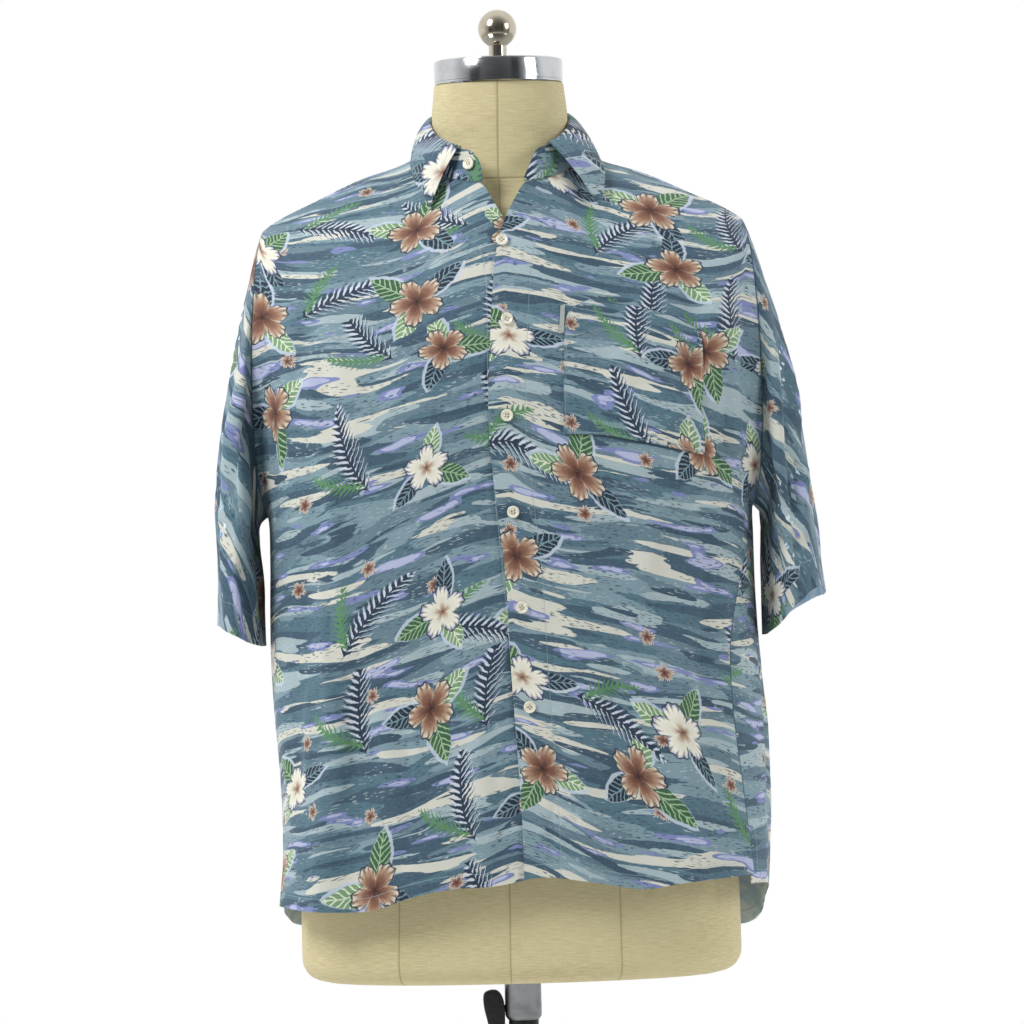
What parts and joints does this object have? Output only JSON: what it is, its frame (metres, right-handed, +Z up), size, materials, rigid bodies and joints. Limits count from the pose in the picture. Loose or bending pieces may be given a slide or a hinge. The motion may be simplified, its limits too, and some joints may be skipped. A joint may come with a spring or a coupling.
{
  "type": "hawaiian shirt, as worn on a limbless dress form with its stand",
  "caption": "Short-sleeved camp shirt in a tropical wave print, buttoned on a linen covered limbless dress form with a steel neck cap, ball finial and black stand.",
  "frame": {"origin": "middle of the base's underside, on the floor", "axes": "row +Z is up, row -Y is the shirt's front, row +X is the wearer's left"},
  "size_m": [0.606, 0.38, 1.5658],
  "materials": {
    "print_cloth": "matt rayon with a faint sheen, printed outside, pale blue inside",
    "label_cloth": "matt woven tape, blank",
    "ivory_button": "satin",
    "linen": "matt plain weave, stretched",
    "bright_steel": "polished",
    "grey_steel": "brushed",
    "black_plastic": "satin",
    "black_steel": "satin enamel"
  },
  "bodies": {
    "stand": {"base": "black_steel", "pole": "black_steel"},
    "form": {"form_body": "linen", "neck_cap": "bright_steel", "finial": "bright_steel", "stand_sleeve": "grey_steel", "front_left": "print_cloth", "front_right": "print_cloth", "back": "print_cloth", "sleeve_left": "print_cloth", "sleeve_right": "print_cloth", "collar_stand": "print_cloth", "collar_leaf": "print_cloth", "pocket": "print_cloth", "pocket_label": "label_cloth", "button_1": "ivory_button", "button_2": "ivory_button", "button_3": "ivory_button", "button_4": "ivory_button", "button_5": "ivory_button", "button_6": "ivory_button", "button_7": "ivory_button"},
    "lever": {"clamp_lever": "black_plastic"}
  },
  "joints": [
    {"name": "height_slide", "type": "slide", "parent": "stand", "child": "form", "axis": [0, 0, 1], "range_m": [-0.15, 0.2]},
    {"name": "clamp_lever_turn", "type": "hinge", "parent": "form", "child": "lever", "pos_m": [0, 0, 0.567], "axis": [1, 0, 0], "range_deg": [-90, 90]}
  ]
}
